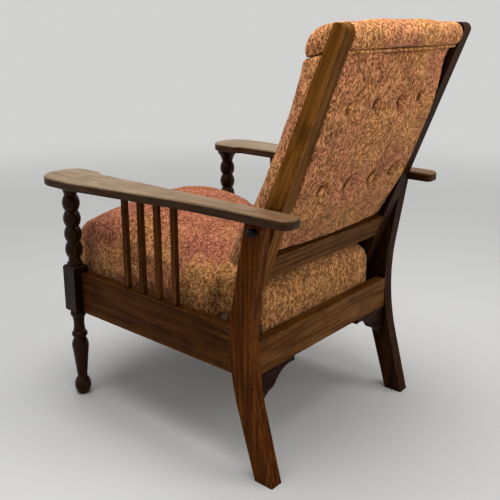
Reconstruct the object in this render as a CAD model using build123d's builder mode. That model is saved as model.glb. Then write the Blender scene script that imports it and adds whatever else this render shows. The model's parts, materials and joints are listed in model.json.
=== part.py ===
from build123d import *
import math
import os

os.makedirs("parts", exist_ok=True)

# A reclining armchair in oak with a sprung, upholstered seat and back.
# Millimetres, +Z up; the chair faces -Y and +X is the sitter's left.
# Y is measured from the axis of the front posts until the pieces are written,
# where all of them move back so that the origin lies under the middle of the chair.

# Heights of the arms' tops and the rails' undersides above the floor, and of the pieces
# themselves, then the pivot's drop below the arms, the stiles' rise above the pivot and
# the back cushion's rise above the seat frame
arm_top_z = 603.0
arm_thickness = 22.0
rail_bottom_z = 234.0
side_rail_depth = 106.0
rear_rail_depth = 76.0
front_rail_depth = 54.0
pivot_drop = 19.0
back_rise = 396.0
back_bottom_rise = 166.0

# Places across the chair
leg_outer_x = 290.0
leg_thickness = 32.0
rail_inset = 2.0
rail_thickness = 23.0
stile_thickness = 35.0
pivot_gap = 3.5
hinge_gap = 5.0
cover_skin = 3.5
back_side_inset = 11.5
seat_side_inset = 16.0
seat_plan_margin = 8.0
seat_wing_inset = 12.0

# The pivot's place along the chair, from the axis of the front posts
pivot_y = 600.0
rear_rail_lead = 15.0

# Clearances
slip_clearance = 0.3
pin_clearance = 0.05

# The lean of the back, in degrees
back_lean = 21.0

# Turned front posts
block_side = 44.0
block_bottom_z = 236.0
block_height = 126.0
block_chamfer = 5.0
bead_radius = 22.0
bead_waist_radius = 15.5
bead_pitch = 40.5
bead_count = 4
lowest_bead_z = 402.0
post_collar_radius = 26.0
post_collar_height = 13.0
post_collar_round = 3.0
post_neck_radius = 17.0
post_neck_drop = 31.0
post_ring_radius = 20.0
post_ring_height = 8.0
foot_radius = 21.5
foot_flat_radius = 13.0
foot_mid_z = 20.0
ankle_radius = 12.5
ankle_z = 48.0
shin_radius = 16.5
shin_z = 88.0
vase_radius = 22.0
vase_z = 138.0
vase_top_z = 162.0
vase_shoulder_radius = 20.0
vase_collar_radius = 20.5
vase_collar_height = 16.0
vase_neck_radius = 14.0
vase_neck_z = 194.0
base_ring_radius = 20.5
base_ring_height = 15.0
ring_root_radius = 16.5
post_tenon_radius = 11.0
post_tenon_length = 14.0

# Sabre rear legs, seen from the side, with leads and lags measured from the pivot
leg_head_depth = 45.0
leg_foot_depth = 48.0
leg_head_lead = 26.0
leg_foot_lag = 49.0
front_bend_lead = 84.5
front_bend_z = 276.0
front_bend_radius = 520.0
rear_bend_lead = 28.0
rear_bend_z = 284.0
rear_bend_radius = 630.0
leg_tenon_thickness = 12.0
leg_tenon_depth = 24.0
leg_tenon_length = 12.0

# Arms, seen from above
arm_paddle_outset = 78.0
arm_paddle_inset = 46.0
arm_front_y = -34.0
arm_paddle_inner_round = 46.0
arm_paddle_outer_round = 62.0
arm_shoulder_y = 100.0
arm_shoulder_round = 90.0
arm_hook_y = 62.0
arm_hook_round = 7.0
arm_notch_y = 82.0
arm_notch_round = 6.0
arm_waist_outset = 28.0
arm_waist_lead = 170.0
arm_waist_round = 900.0
arm_rear_outset = 17.0
arm_rear_lag = 93.0
arm_rear_inner_round = 14.0
arm_rear_outer_round = 22.0
arm_edge_round = 5.0

# Spindles under the arms
spindle_side = 12.5
spindle_count = 4
spindle_pitch = 55.0
spindle_first_y = 191.0
spindle_tenon_side = 8.0
spindle_tenon_length = 10.0

# Rails and their tenons
tenon_thickness = 10.0
tenon_shoulder = 12.0
tenon_length = 18.0
rear_rail_thickness = 25.0
front_rail_thickness = 24.0
front_rail_setback = 3.0

# Rear corner brackets
bracket_length = 128.0
bracket_height = 100.0
bracket_tip = 13.0
bracket_foot = 5.0
bracket_thickness = 20.0
bracket_step = 6.0
bracket_knee_share = 0.55
bracket_drop_share = 0.42
bracket_bow = 9.0
bracket_setback = 1.5

# Front corner blocks and the screws that hold them
corner_block_side = 34.0
corner_block_height = 44.0
corner_block_drop = 4.0
screw_radius = 2.2
screw_head_radius = 4.2
screw_head_height = 1.6
screw_length = 46.0
screw_setback = 24.0

# Back frame, with u measured up its stiles from the pivot and v rearward from it
stile_rear_v = 22.0
stile_pivot_width = 42.0
stile_top_width = 27.0
stile_end = 21.0
stile_rear_round = 15.0
stile_front_round = 5.0
lower_rail_top_u = -73.0
lower_rail_height = 56.0
lower_rail_thickness = 22.0
lower_rail_setback = 2.0
top_rail_rise = 10.0
top_rail_height = 30.0
web_rail_u = -40.0
web_rail_height = 26.0
inner_rail_thickness = 16.0
inner_rail_front_v = -8.0
rail_tenon_shoulder = 6.0
rail_tenon_thickness = 8.0

# Pivot pins with their ball knobs, and the pins that hang the seat
pin_radius = 5.0
pin_recess = 2.0
knob_radius = 9.0
knob_stand = 13.0
knob_neck_radius = 6.5
knob_socket = 10.0
washer_radius = 12.0
washer_play = 0.2
hinge_pin_radius = 4.0
hinge_head_radius = 7.5
hinge_head_height = 2.6
hinge_washer_radius = 9.0
hinge_pin_hold = 15.0

# Back upholstery, with one depth and one crown in front, and one place and one crown behind,
# for each station up the back
back_side_bulge = 6.0
back_corner = 34.0
back_rear_gap = 3.0
back_shadow_v = -5.0
back_station_shares = [-0.49, -0.32, -0.16, 0.08, 0.27, 0.53, 0.77, 1]
back_depths = [86.0, 88.0, 83.0, 68.0, 62.0, 59.0, 61.5, 66.0]
back_crowns = [9.0, 12.0, 17.0, 22.0, 22.0, 17.0, 9.0, 3.0]
back_rears = [11.0, 8.0, 4.0, 18.0, 24.0, 24.0, 16.0, 11.0]
back_rear_crowns = [4.0, 6.0, 10.0, 9.0, 9.0, 9.0, 9.0, 6.0]

# Head roll in section: places rearward of the pivot line and rises above the rear seam,
# with its girth along its half length as shares
seam_drop = 48.2
roll_root_rear_v = 13.0
roll_rear_v = 28.5
roll_rear_rise = 24.3
roll_top_v = -8.0
roll_top_rise = 49.4
roll_brow_v = -52.5
roll_brow_rise = 23.5
roll_top_bulge = 2.2
roll_front_v = -66.0
roll_front_drop = 8.0
roll_root_front_v = -55.0
roll_root_front_drop = 41.0
roll_place_shares = [-1, -0.96, -0.85, -0.5, 0, 0.5, 0.85, 0.96, 1]
roll_girth_shares = [0.70, 0.87, 0.96, 1, 1, 1, 0.96, 0.87, 0.70]
welt_radius = 3.0
welt_stand = 1.5

# Tufting buttons through the back
button_radius = 9.0
button_height = 6.0
button_round = 4.0
button_column_shares = [-0.58, -0.2, 0.2, 0.58]
button_row_shares = [0.2, 0.695]
tuft_radius = 24.0
tuft_depth = 6.0

# Seat frame and webbing
seat_front_y = -70.0
seat_rear_gap = 2.0
seat_slide_gap = 2.0
seat_bar_depth = 34.0
seat_bar_width = 25.0
seat_wing_gap = 10.0
seat_front_wall = 14.0
seat_front_bar_width = 30.0
seat_front_bar_round = 24.0
web_thickness = 1.6
web_width = 50.0
web_rise = 1.5
web_count = 3

# Seat cushion, with one wall and one crown for each station from front to rear
seat_side_bulge = 4.0
seat_corner = 32.0
seat_front_round = 42.0
seat_notch_lead = 172.0
seat_notch_round = 8.0
seat_rear_round = 6.0
seat_station_shares = [0, 0.03, 0.10, 0.24, 0.40, 0.72, 0.85, 0.93, 0.975, 1]
seat_width_shares = [0.93, 0.97, 0.99, 1, 1, 1, 1, 1, 1, 1]
seat_walls = [134.0, 158.0, 175.0, 184.0, 154.0, 134.0, 120.0, 113.0, 100.0, 78.0]
seat_crowns = [152.0, 177.0, 198.0, 217.0, 194.0, 170.0, 159.0, 152.0, 137.0, 114.0]

overrun = 60.0

# Derived places
lean = math.radians(back_lean)
up_back = (0, math.sin(lean), math.cos(lean))
rear_of_back = (0, math.cos(lean), -math.sin(lean))
arm_bottom_z = arm_top_z - arm_thickness
pivot_z = arm_bottom_z - pivot_drop
back_top_z = pivot_z + back_rise
post_x = leg_outer_x
leg_inner_x = leg_outer_x - leg_thickness
rail_outer_x = leg_outer_x - rail_inset
rail_inner_x = rail_outer_x - rail_thickness
rail_mid_x = (rail_outer_x + rail_inner_x) / 2
stile_outer_x = leg_inner_x - pivot_gap
stile_inner_x = stile_outer_x - stile_thickness
back_half_width = stile_outer_x - back_side_inset
seat_half_width = leg_inner_x - seat_side_inset
seat_plan_x = seat_half_width + seat_plan_margin
seat_wing_x = seat_half_width - seat_wing_inset
leg_head_y = pivot_y - leg_head_lead
leg_foot_y = pivot_y + leg_foot_lag
rear_rail_y = pivot_y - rear_rail_lead
side_rail_top_z = rail_bottom_z + side_rail_depth
rear_rail_front_y = rear_rail_y - rear_rail_thickness
front_rail_top_z = rail_bottom_z + front_rail_depth
front_rail_front_y = front_rail_setback - block_side / 2
front_rail_rear_y = front_rail_front_y + front_rail_thickness
seat_bottom_z = front_rail_top_z + seat_slide_gap
seat_hinge_z = seat_bottom_z + seat_bar_depth / 2
back_bottom_z = seat_bottom_z + back_bottom_rise
seat_bar_outer_x = stile_inner_x - hinge_gap - cover_skin
seat_bar_inner_x = seat_bar_outer_x - seat_bar_width
seat_cover_x = stile_inner_x - hinge_gap
seat_rear_y = rear_rail_front_y - seat_rear_gap
seat_bar_rear_y = seat_rear_y - cover_skin
seat_rear_bar_y = seat_bar_rear_y - seat_bar_width
seat_front_bar_y = seat_front_y + seat_front_wall
seat_side_front_y = seat_front_bar_y + seat_front_bar_width
seat_notch_y = pivot_y - seat_notch_lead
seat_wing_end_y = seat_notch_y - seat_wing_gap
hinge_drop = (pivot_z - seat_hinge_z) / math.cos(lean)
hinge_y = pivot_y - hinge_drop * math.sin(lean)
back_seam_u = (back_top_z - pivot_z) / math.cos(lean) - seam_drop


def back_y(u, v):
    """Y of the point u up the back frame and v behind its pivot line."""
    return pivot_y + u * math.sin(lean) + v * math.cos(lean)


def back_z(u, v):
    """Z of the point u up the back frame and v behind its pivot line."""
    return pivot_z + u * math.cos(lean) - v * math.sin(lean)


def level_u(z, v):
    """The u at which the back frame reaches the height z, v behind its pivot line."""
    return (z - pivot_z + v * math.sin(lean)) / math.cos(lean)


def back_section(u, v=0):
    """A plane square to the back frame: its x is the chair's X and its y points rearward."""
    return Plane(origin=(0, back_y(u, v), back_z(u, v)), x_dir=(1, 0, 0), z_dir=up_back)


def back_side(x):
    """The side plane of the back frame at x: its x points rearward and its y up the back."""
    return Plane(origin=(x, pivot_y, pivot_z), x_dir=rear_of_back, z_dir=(1, 0, 0))


def button_plane(x, u, v, facing):
    """The plane that a button on the back sits on, facing rearward for 1 and forward for -1."""
    return Plane(
        origin=(x, back_y(u, v), back_z(u, v)),
        x_dir=(1, 0, 0),
        z_dir=(0, facing * rear_of_back[1], facing * rear_of_back[2]),
    )


def bulged(start, end, bulge):
    """The middle of the line from start to end, pushed out to its left by the bulge."""
    length = math.dist(start, end)
    return (
        (start[0] + end[0]) / 2 - bulge * (end[1] - start[1]) / length,
        (start[1] + end[1]) / 2 + bulge * (end[0] - start[0]) / length,
    )


def between(places, values, place):
    """The value at a place, in line between the values of the two places beside it."""
    for low, high, low_value, high_value in zip(places, places[1:], values, values[1:]):
        if low <= place <= high:
            return low_value + (high_value - low_value) * (place - low) / (high - low)
    return values[-1]


pieces = []


def keep(piece, name):
    """Gives a finished piece its name and puts it in the list of the chair's pieces."""
    piece.label = name
    pieces.append(piece)


def keep_pair(piece, name):
    """Keeps the left piece and its mirror image on the right."""
    keep(piece, name + "_left")
    with BuildPart() as right:
        mirror(piece, about=Plane.YZ)
    keep(right.part, name + "_right")


low_front = (Align.MIN, Align.MIN, Align.MIN)
middle_front = (Align.CENTER, Align.MIN, Align.MIN)
middle_bottom = (Align.CENTER, Align.CENTER, Align.MIN)

# Front posts: a square block, bobbin turning above it, a vase and a ball foot below
block_top_z = block_bottom_z + block_height
collar_bottom_z = arm_bottom_z - post_collar_height
post_end_z = arm_bottom_z + post_tenon_length
base_ring_z = block_bottom_z - base_ring_height
side_tenon_z = rail_bottom_z + tenon_shoulder
side_tenon_height = side_rail_depth - 2 * tenon_shoulder
front_tenon_height = front_rail_depth - 2 * tenon_shoulder
front_tenon_y = (front_rail_front_y + front_rail_rear_y - tenon_thickness) / 2
post_plane = Plane(origin=(post_x, 0, 0), x_dir=(1, 0, 0), z_dir=(0, -1, 0))
post_axis = Axis((post_x, 0, 0), (0, 0, 1))
with BuildPart() as front_post:
    with Locations((post_x, 0, block_bottom_z)):
        Box(block_side, block_side, block_height, align=middle_bottom)
    block_ends = front_post.faces().filter_by(Axis.Z)
    chamfer(block_ends.edges(), block_chamfer)
    with BuildSketch(post_plane):
        with BuildLine():
            foot_ball = ThreePointArc(
                (foot_flat_radius, 0), (foot_radius, foot_mid_z), (ankle_radius, ankle_z)
            )
            vase = ThreePointArc(foot_ball @ 1, (shin_radius, shin_z), (vase_radius, vase_z))
            vase_shoulder = ThreePointArc(
                vase @ 1, (vase_shoulder_radius, (vase_z + vase_top_z) / 2), (vase_neck_radius, vase_top_z)
            )
            vase_collar = ThreePointArc(
                vase_shoulder @ 1,
                (vase_collar_radius, vase_top_z + vase_collar_height / 2),
                (ring_root_radius, vase_top_z + vase_collar_height),
            )
            vase_neck = ThreePointArc(
                vase_collar @ 1, (vase_neck_radius, vase_neck_z), (ring_root_radius, base_ring_z)
            )
            base_ring = ThreePointArc(
                vase_neck @ 1,
                (base_ring_radius, base_ring_z + base_ring_height / 2),
                (ring_root_radius, block_bottom_z),
            )
            inside_block = Line(base_ring @ 1, (ring_root_radius, block_top_z))
            post_ring = ThreePointArc(
                inside_block @ 1,
                (post_ring_radius, block_top_z + post_ring_height / 2),
                (bead_waist_radius, block_top_z + post_ring_height),
            )
            turning = Line(post_ring @ 1, (bead_waist_radius, lowest_bead_z - bead_pitch / 2))
            for bead in range(bead_count):
                bead_z = lowest_bead_z + bead * bead_pitch
                turning = ThreePointArc(
                    turning @ 1, (bead_radius, bead_z), (bead_waist_radius, bead_z + bead_pitch / 2)
                )
            collar_flare = ThreePointArc(
                turning @ 1,
                (post_neck_radius, arm_bottom_z - post_neck_drop),
                (post_collar_radius, collar_bottom_z),
            )
            collar_edge = ThreePointArc(
                collar_flare @ 1,
                (post_collar_radius + post_collar_round, arm_bottom_z - post_collar_height / 2),
                (post_collar_radius, arm_bottom_z),
            )
            Polyline(
                collar_edge @ 1,
                (post_tenon_radius, arm_bottom_z),
                (post_tenon_radius, post_end_z),
                (0, post_end_z),
                (0, 0),
                (foot_flat_radius, 0),
            )
        make_face()
    revolve(axis=post_axis)
    with Locations((rail_mid_x, block_side / 2 - tenon_length, side_tenon_z)):
        Box(tenon_thickness, overrun, side_tenon_height, align=middle_front, mode=Mode.SUBTRACT)
    with Locations((post_x - block_side / 2 - overrun, front_tenon_y, side_tenon_z)):
        Box(
            overrun + tenon_length,
            tenon_thickness,
            front_tenon_height,
            align=low_front,
            mode=Mode.SUBTRACT,
        )
keep_pair(front_post.part, "front_post")

# Sabre rear legs, whose heads stop under the arms
leg_foot_front_y = leg_foot_y - leg_foot_depth
rear_tenon_y = rear_rail_y - (rear_rail_thickness + tenon_thickness) / 2
rear_tenon_height = rear_rail_depth - 2 * tenon_shoulder
with BuildPart() as leg_blank:
    with BuildSketch(Plane.YZ.offset(leg_inner_x)):
        with BuildLine():
            FilletPolyline(
                (leg_head_y, arm_bottom_z),
                (pivot_y - front_bend_lead, front_bend_z),
                (leg_foot_front_y, 0),
                (leg_foot_y, 0),
                (pivot_y - rear_bend_lead, rear_bend_z),
                (leg_head_y + leg_head_depth, arm_bottom_z),
                radius=[0, front_bend_radius, 0, 0, rear_bend_radius, 0],
                close=True,
            )
        make_face()
    extrude(amount=leg_thickness)

with BuildPart() as rear_leg:
    add(leg_blank.part)
    with Locations((leg_inner_x + leg_thickness / 2, leg_head_y + leg_head_depth / 2, arm_bottom_z)):
        Box(leg_tenon_thickness, leg_tenon_depth, leg_tenon_length, align=middle_bottom)
    with Locations((rail_mid_x, rear_tenon_y - overrun, side_tenon_z)):
        Box(
            tenon_thickness,
            overrun - slip_clearance,
            side_tenon_height,
            align=middle_front,
            mode=Mode.SUBTRACT,
        )
    with Locations((leg_inner_x, rear_tenon_y, side_tenon_z)):
        Box(tenon_length, tenon_thickness, rear_tenon_height, align=low_front, mode=Mode.SUBTRACT)
    with Locations(Plane(origin=(leg_inner_x, pivot_y, pivot_z), z_dir=(1, 0, 0))):
        Cylinder(pin_radius + pin_clearance, 2 * leg_thickness, mode=Mode.SUBTRACT)
keep_pair(rear_leg.part, "rear_leg")

# Side rails, tenoned into the front posts and the rear legs
spindle_places = [
    (rail_mid_x, spindle_first_y + place * spindle_pitch) for place in range(spindle_count)
]
with BuildPart() as side_rail:
    with Locations((rail_inner_x, block_side / 2, rail_bottom_z)):
        Box(rail_thickness, rear_tenon_y - block_side / 2, side_rail_depth, align=low_front)
    add(leg_blank.part, mode=Mode.SUBTRACT)
    with Locations((rail_mid_x, block_side / 2 - tenon_length, side_tenon_z)):
        Box(
            tenon_thickness,
            rear_tenon_y - slip_clearance - block_side / 2 + tenon_length,
            side_tenon_height,
            align=middle_front,
        )
    with Locations(*[(x, y, side_rail_top_z - spindle_tenon_length) for x, y in spindle_places]):
        Box(spindle_tenon_side, spindle_tenon_side, overrun, align=middle_bottom, mode=Mode.SUBTRACT)

# Rear rail between the legs
with BuildPart() as rear_rail:
    with Locations((0, rear_rail_front_y, rail_bottom_z)):
        Box(2 * leg_inner_x, rear_rail_thickness, rear_rail_depth, align=middle_front)
    with Locations((0, rear_tenon_y, side_tenon_z)):
        Box(2 * (leg_inner_x + tenon_length), tenon_thickness, rear_tenon_height, align=middle_front)
keep(rear_rail.part, "rear_rail")

# Front rail, low enough for the seat to slide over it
post_inner_x = post_x - block_side / 2
with BuildPart() as front_rail:
    with Locations((0, front_rail_front_y, rail_bottom_z)):
        Box(2 * post_inner_x, front_rail_thickness, front_rail_depth, align=middle_front)
    with Locations((0, front_tenon_y, side_tenon_z)):
        Box(2 * (post_inner_x + tenon_length), tenon_thickness, front_tenon_height, align=middle_front)

# Spindles, tenoned into the side rails and the arms
for place, (x, y) in enumerate(spindle_places):
    with BuildPart() as spindle:
        with Locations((x, y, side_rail_top_z)):
            Box(spindle_side, spindle_side, arm_bottom_z - side_rail_top_z, align=middle_bottom)
        with Locations((x, y, side_rail_top_z - spindle_tenon_length)):
            Box(
                spindle_tenon_side,
                spindle_tenon_side,
                arm_bottom_z - side_rail_top_z + 2 * spindle_tenon_length,
                align=middle_bottom,
            )
    keep(spindle.part, f"spindle_left_{place + 1}")
    with BuildPart() as right_spindle:
        mirror(spindle.part, about=Plane.YZ)
    keep(right_spindle.part, f"spindle_right_{place + 1}")

# Arms with a broad paddle in front, notched on the inner side behind it
arm_paddle_outer_x = post_x + arm_paddle_outset
arm_paddle_inner_x = post_x - arm_paddle_inset
arm_rear_y = pivot_y + arm_rear_lag
with BuildPart() as arm:
    with BuildSketch(Plane.XY.offset(arm_bottom_z)):
        with BuildLine():
            FilletPolyline(
                (leg_inner_x, arm_rear_y),
                (leg_inner_x, arm_notch_y),
                (arm_paddle_inner_x, arm_hook_y),
                (arm_paddle_inner_x, arm_front_y),
                (arm_paddle_outer_x, arm_front_y),
                (arm_paddle_outer_x, arm_shoulder_y),
                (leg_outer_x + arm_waist_outset, pivot_y - arm_waist_lead),
                (leg_outer_x + arm_rear_outset, arm_rear_y),
                radius=[
                    arm_rear_inner_round,
                    arm_notch_round,
                    arm_hook_round,
                    arm_paddle_inner_round,
                    arm_paddle_outer_round,
                    arm_shoulder_round,
                    arm_waist_round,
                    arm_rear_outer_round,
                ],
                close=True,
            )
        make_face()
    extrude(amount=arm_thickness)
    fillet(arm.faces().filter_by(Axis.Z).edges(), arm_edge_round)
    with Locations((post_x, 0, arm_bottom_z)):
        Cylinder(
            post_tenon_radius + pin_clearance,
            2 * post_tenon_length,
            mode=Mode.SUBTRACT,
        )
    with Locations((leg_inner_x + leg_thickness / 2, leg_head_y + leg_head_depth / 2, arm_bottom_z)):
        Box(leg_tenon_thickness, leg_tenon_depth, 2 * leg_tenon_length, mode=Mode.SUBTRACT)
    with Locations(*[(x, y, arm_bottom_z) for x, y in spindle_places]):
        Box(spindle_tenon_side, spindle_tenon_side, 2 * spindle_tenon_length, mode=Mode.SUBTRACT)
keep_pair(arm.part, "arm")

# Shaped corner brackets under the rear rail
knee_x = leg_inner_x - bracket_length * (1 - bracket_knee_share)
knee_z = rail_bottom_z - bracket_height * bracket_drop_share
with BuildPart() as rear_bracket:
    bracket_plane = Plane(
        origin=(0, rear_rail_y - bracket_setback, 0), x_dir=(1, 0, 0), z_dir=(0, -1, 0)
    )
    with BuildSketch(bracket_plane):
        with BuildLine():
            bracket_head = Polyline(
                (leg_inner_x, rail_bottom_z - bracket_height),
                (leg_inner_x, rail_bottom_z),
                (leg_inner_x - bracket_length, rail_bottom_z),
                (leg_inner_x - bracket_length, rail_bottom_z - bracket_tip),
            )
            tip_x = leg_inner_x - bracket_length
            tip_z = rail_bottom_z - bracket_tip
            upper_curve = ThreePointArc(
                bracket_head @ 1,
                ((tip_x + knee_x) / 2 + bracket_bow, (tip_z + knee_z) / 2 + bracket_bow),
                (knee_x, knee_z),
            )
            bracket_ledge = Line(upper_curve @ 1, (knee_x + bracket_step, knee_z - bracket_step))
            foot_x = leg_inner_x - bracket_foot
            foot_z = rail_bottom_z - bracket_height
            lower_curve = ThreePointArc(
                bracket_ledge @ 1,
                ((knee_x + foot_x) / 2 + bracket_bow, (knee_z + foot_z) / 2 + bracket_bow),
                (foot_x, foot_z),
            )
            Line(lower_curve @ 1, bracket_head @ 0)
        make_face()
    extrude(amount=bracket_thickness)
keep_pair(rear_bracket.part, "rear_bracket")

# Front corner blocks, each screwed to its side rail and to the front rail
corner_block_z = front_rail_top_z - corner_block_drop - corner_block_height
screw_z = corner_block_z + corner_block_height / 2
side_screw_plane = Plane(
    origin=(rail_inner_x - corner_block_side, front_rail_rear_y + screw_setback, screw_z),
    z_dir=(1, 0, 0),
)
front_screw_plane = Plane(
    origin=(
        rail_inner_x - screw_setback,
        front_rail_rear_y + corner_block_side,
        screw_z + corner_block_height / 4,
    ),
    z_dir=(0, -1, 0),
)
on_axis = (Align.CENTER, Align.CENTER, Align.MIN)
behind_axis = (Align.CENTER, Align.CENTER, Align.MAX)
with BuildPart() as screw_holes:
    with Locations(side_screw_plane, front_screw_plane):
        Cylinder(screw_radius + pin_clearance, screw_length + pin_clearance, align=on_axis)

with BuildPart() as frame_screws:
    with Locations(side_screw_plane, front_screw_plane):
        Cylinder(screw_radius, screw_length, align=on_axis)
        Cylinder(screw_head_radius, screw_head_height, align=behind_axis)
    mirror(about=Plane.YZ)
keep(frame_screws.part, "frame_screws")

with BuildPart() as corner_block:
    with Locations((rail_inner_x - corner_block_side, front_rail_rear_y, corner_block_z)):
        Box(corner_block_side, corner_block_side, corner_block_height, align=low_front)
    add(screw_holes.part, mode=Mode.SUBTRACT)
keep_pair(corner_block.part, "corner_block")

with BuildPart() as drilled_front_rail:
    add(front_rail.part)
    add(screw_holes.part, mode=Mode.SUBTRACT)
    mirror(screw_holes.part, about=Plane.YZ, mode=Mode.SUBTRACT)
keep(drilled_front_rail.part, "front_rail")

with BuildPart() as drilled_side_rail:
    add(side_rail.part)
    add(screw_holes.part, mode=Mode.SUBTRACT)
keep_pair(drilled_side_rail.part, "side_rail")

# Pivot pins through the legs and the back frame, with ball knobs outside and washers between
pivot_hole = pin_radius + pin_clearance
knob_centre_x = leg_outer_x + knob_stand
pin_inner_x = stile_inner_x + pin_recess
pivot_plane = Plane(origin=(0, pivot_y, pivot_z), z_dir=(1, 0, 0))
with BuildPart() as pivot_pin:
    with Locations(pivot_plane.offset(pin_inner_x)):
        Cylinder(pin_radius, leg_outer_x + knob_socket - pin_inner_x, align=on_axis)
keep_pair(pivot_pin.part, "pivot_pin")

with BuildPart() as pivot_knob:
    with Locations(pivot_plane.offset(leg_outer_x)):
        Cylinder(knob_neck_radius, knob_stand, align=on_axis)
    with Locations((knob_centre_x, pivot_y, pivot_z)):
        Sphere(knob_radius)
    with Locations(pivot_plane.offset(leg_outer_x)):
        Cylinder(pivot_hole, knob_socket, align=on_axis, mode=Mode.SUBTRACT)
keep_pair(pivot_knob.part, "pivot_knob")

with BuildPart() as pivot_washer:
    with Locations(pivot_plane.offset(leg_inner_x)):
        Cylinder(washer_radius, pivot_gap - washer_play, align=behind_axis)
        Cylinder(pivot_hole, pivot_gap, align=behind_axis, mode=Mode.SUBTRACT)
keep_pair(pivot_washer.part, "pivot_washer")

# Rails of the back frame, each tenoned into both stiles
back_rails = [
    (
        "back_lower_rail",
        lower_rail_top_u - lower_rail_height,
        lower_rail_height,
        stile_rear_v - lower_rail_setback - lower_rail_thickness,
        lower_rail_thickness,
    ),
    ("back_web_rail", web_rail_u, web_rail_height, inner_rail_front_v, inner_rail_thickness),
    (
        "back_top_rail",
        back_seam_u + top_rail_rise,
        top_rail_height,
        inner_rail_front_v,
        inner_rail_thickness,
    ),
]
rail_tenons = []
for name, low_u, height, front_v, thickness in back_rails:
    tenon_v = front_v + (thickness - rail_tenon_thickness) / 2
    with BuildPart() as rail_tenon:
        with Locations(back_section(low_u + rail_tenon_shoulder, tenon_v)):
            Box(
                2 * (stile_inner_x + tenon_length),
                rail_tenon_thickness,
                height - 2 * rail_tenon_shoulder,
                align=middle_front,
            )
    rail_tenons.append(rail_tenon.part)
    with BuildPart() as back_rail:
        with Locations(back_section(low_u, front_v)):
            Box(2 * stile_inner_x, thickness, height, align=middle_front)
        add(rail_tenon.part)
    keep(back_rail.part, name)

# Stiles of the back frame, rounded about the seat hinge at their lower ends
with BuildPart() as back_stile:
    with BuildSketch(back_side(stile_inner_x)):
        with BuildLine():
            stile_front_top = stile_rear_v - stile_top_width
            FilletPolyline(
                (stile_end, -hinge_drop),
                (stile_rear_v, 0),
                (stile_rear_v, level_u(back_top_z, stile_rear_v)),
                (stile_front_top, level_u(back_top_z, stile_front_top)),
                (stile_rear_v - stile_pivot_width, 0),
                (-stile_end, -hinge_drop),
                radius=[0, stile_rear_round, stile_front_round, 0],
            )
            ThreePointArc(
                (-stile_end, -hinge_drop), (0, -hinge_drop - stile_end), (stile_end, -hinge_drop)
            )
        make_face()
    extrude(amount=stile_thickness)
    with BuildSketch(back_side(stile_inner_x)):
        Circle(pivot_hole)
    extrude(amount=stile_thickness, mode=Mode.SUBTRACT)
    with BuildSketch(back_side(stile_inner_x)):
        with Locations((0, -hinge_drop)):
            Circle(hinge_pin_radius + pin_clearance)
    extrude(amount=stile_thickness, mode=Mode.SUBTRACT)
    add(rail_tenons, mode=Mode.SUBTRACT)
keep_pair(back_stile.part, "back_stile")

# The space that the stiles and the inner rails take from the upholstery
cover_x = stile_inner_x - slip_clearance
with BuildPart() as frame_space:
    with BuildSketch(back_side(cover_x)):
        with BuildLine():
            front_at_top = stile_front_top - slip_clearance
            front_at_pivot = stile_rear_v - stile_pivot_width - slip_clearance
            front_at_end = -stile_end - slip_clearance
            space_top_u = back_seam_u + 2 * overrun
            Polyline(
                (front_at_end, -hinge_drop),
                (front_at_pivot, 0),
                (front_at_top, level_u(back_top_z, stile_front_top)),
                (front_at_top, space_top_u),
                (stile_rear_v + overrun, space_top_u),
                (stile_rear_v + overrun, -hinge_drop),
                close=True,
            )
        make_face()
    extrude(amount=2 * overrun)
    mirror(about=Plane.YZ)
    for name, low_u, height, front_v, thickness in back_rails[1:]:
        with Locations(back_section(low_u - slip_clearance, front_v - slip_clearance)):
            Box(
                2 * stile_inner_x,
                thickness + 2 * slip_clearance,
                height + 2 * slip_clearance,
                align=middle_front,
            )

# Back cushion: lofted up the back, cut away under the head roll and over the lower rail, and tufted
back_top_u = back_seam_u - slip_clearance
back_places = [share * back_top_u for share in back_station_shares]
seam_plane = back_section(back_seam_u)
roll_root_front_u = back_seam_u - roll_root_front_drop
roll_root_slope = math.atan2(roll_root_front_drop, roll_root_rear_v - roll_root_front_v)
under_roll = back_section(back_seam_u - slip_clearance, roll_root_rear_v).rotated(
    (math.degrees(roll_root_slope), 0, 0)
)
welt_x = cover_x - slip_clearance


def rear_face_v(u, x):
    """How far rearward the back cushion's rear face reaches, u up the back and at x."""
    crown = between(back_places, back_rear_crowns, u)
    return between(back_places, back_rears, u) + crown * (1 - (x / back_half_width) ** 2)


def welt_points(x):
    """Three points of the welt's line over the rear face, from -x to x."""
    end_v = rear_face_v(back_top_u, x) + welt_stand
    return (-x, end_v), (0, rear_face_v(back_top_u, 0) + welt_stand), (x, end_v)


with BuildPart() as roll_welt:
    with BuildLine(seam_plane):
        welt_line = ThreePointArc(*welt_points(welt_x))
    with BuildSketch(Plane(origin=welt_line @ 0, z_dir=welt_line % 0)):
        Circle(welt_radius)
    sweep()
keep(roll_welt.part, "roll_welt")

with BuildPart() as welt_groove:
    with BuildLine(seam_plane):
        groove_line = ThreePointArc(*welt_points(stile_inner_x))
    with BuildSketch(Plane(origin=groove_line @ 0, z_dir=groove_line % 0)):
        Circle(welt_radius + slip_clearance)
    sweep()

button_places = []
for row_share in button_row_shares:
    u = row_share * back_seam_u
    depth = between(back_places, back_depths, u)
    crown = between(back_places, back_crowns, u)
    for column_share in button_column_shares:
        x = column_share * back_half_width
        front_v = -depth - crown * (1 - (x / (back_half_width - back_corner)) ** 2)
        button_places.append(button_plane(x, u, rear_face_v(u, x) - tuft_depth, 1))
        button_places.append(button_plane(x, u, front_v + tuft_depth, -1))

pocket_radius = button_radius + slip_clearance


def outer_rim(place):
    """The edge of the button at this place that faces away from the cushion."""
    return button_rims.sort_by_distance(place.offset(button_height).origin)[0]


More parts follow.
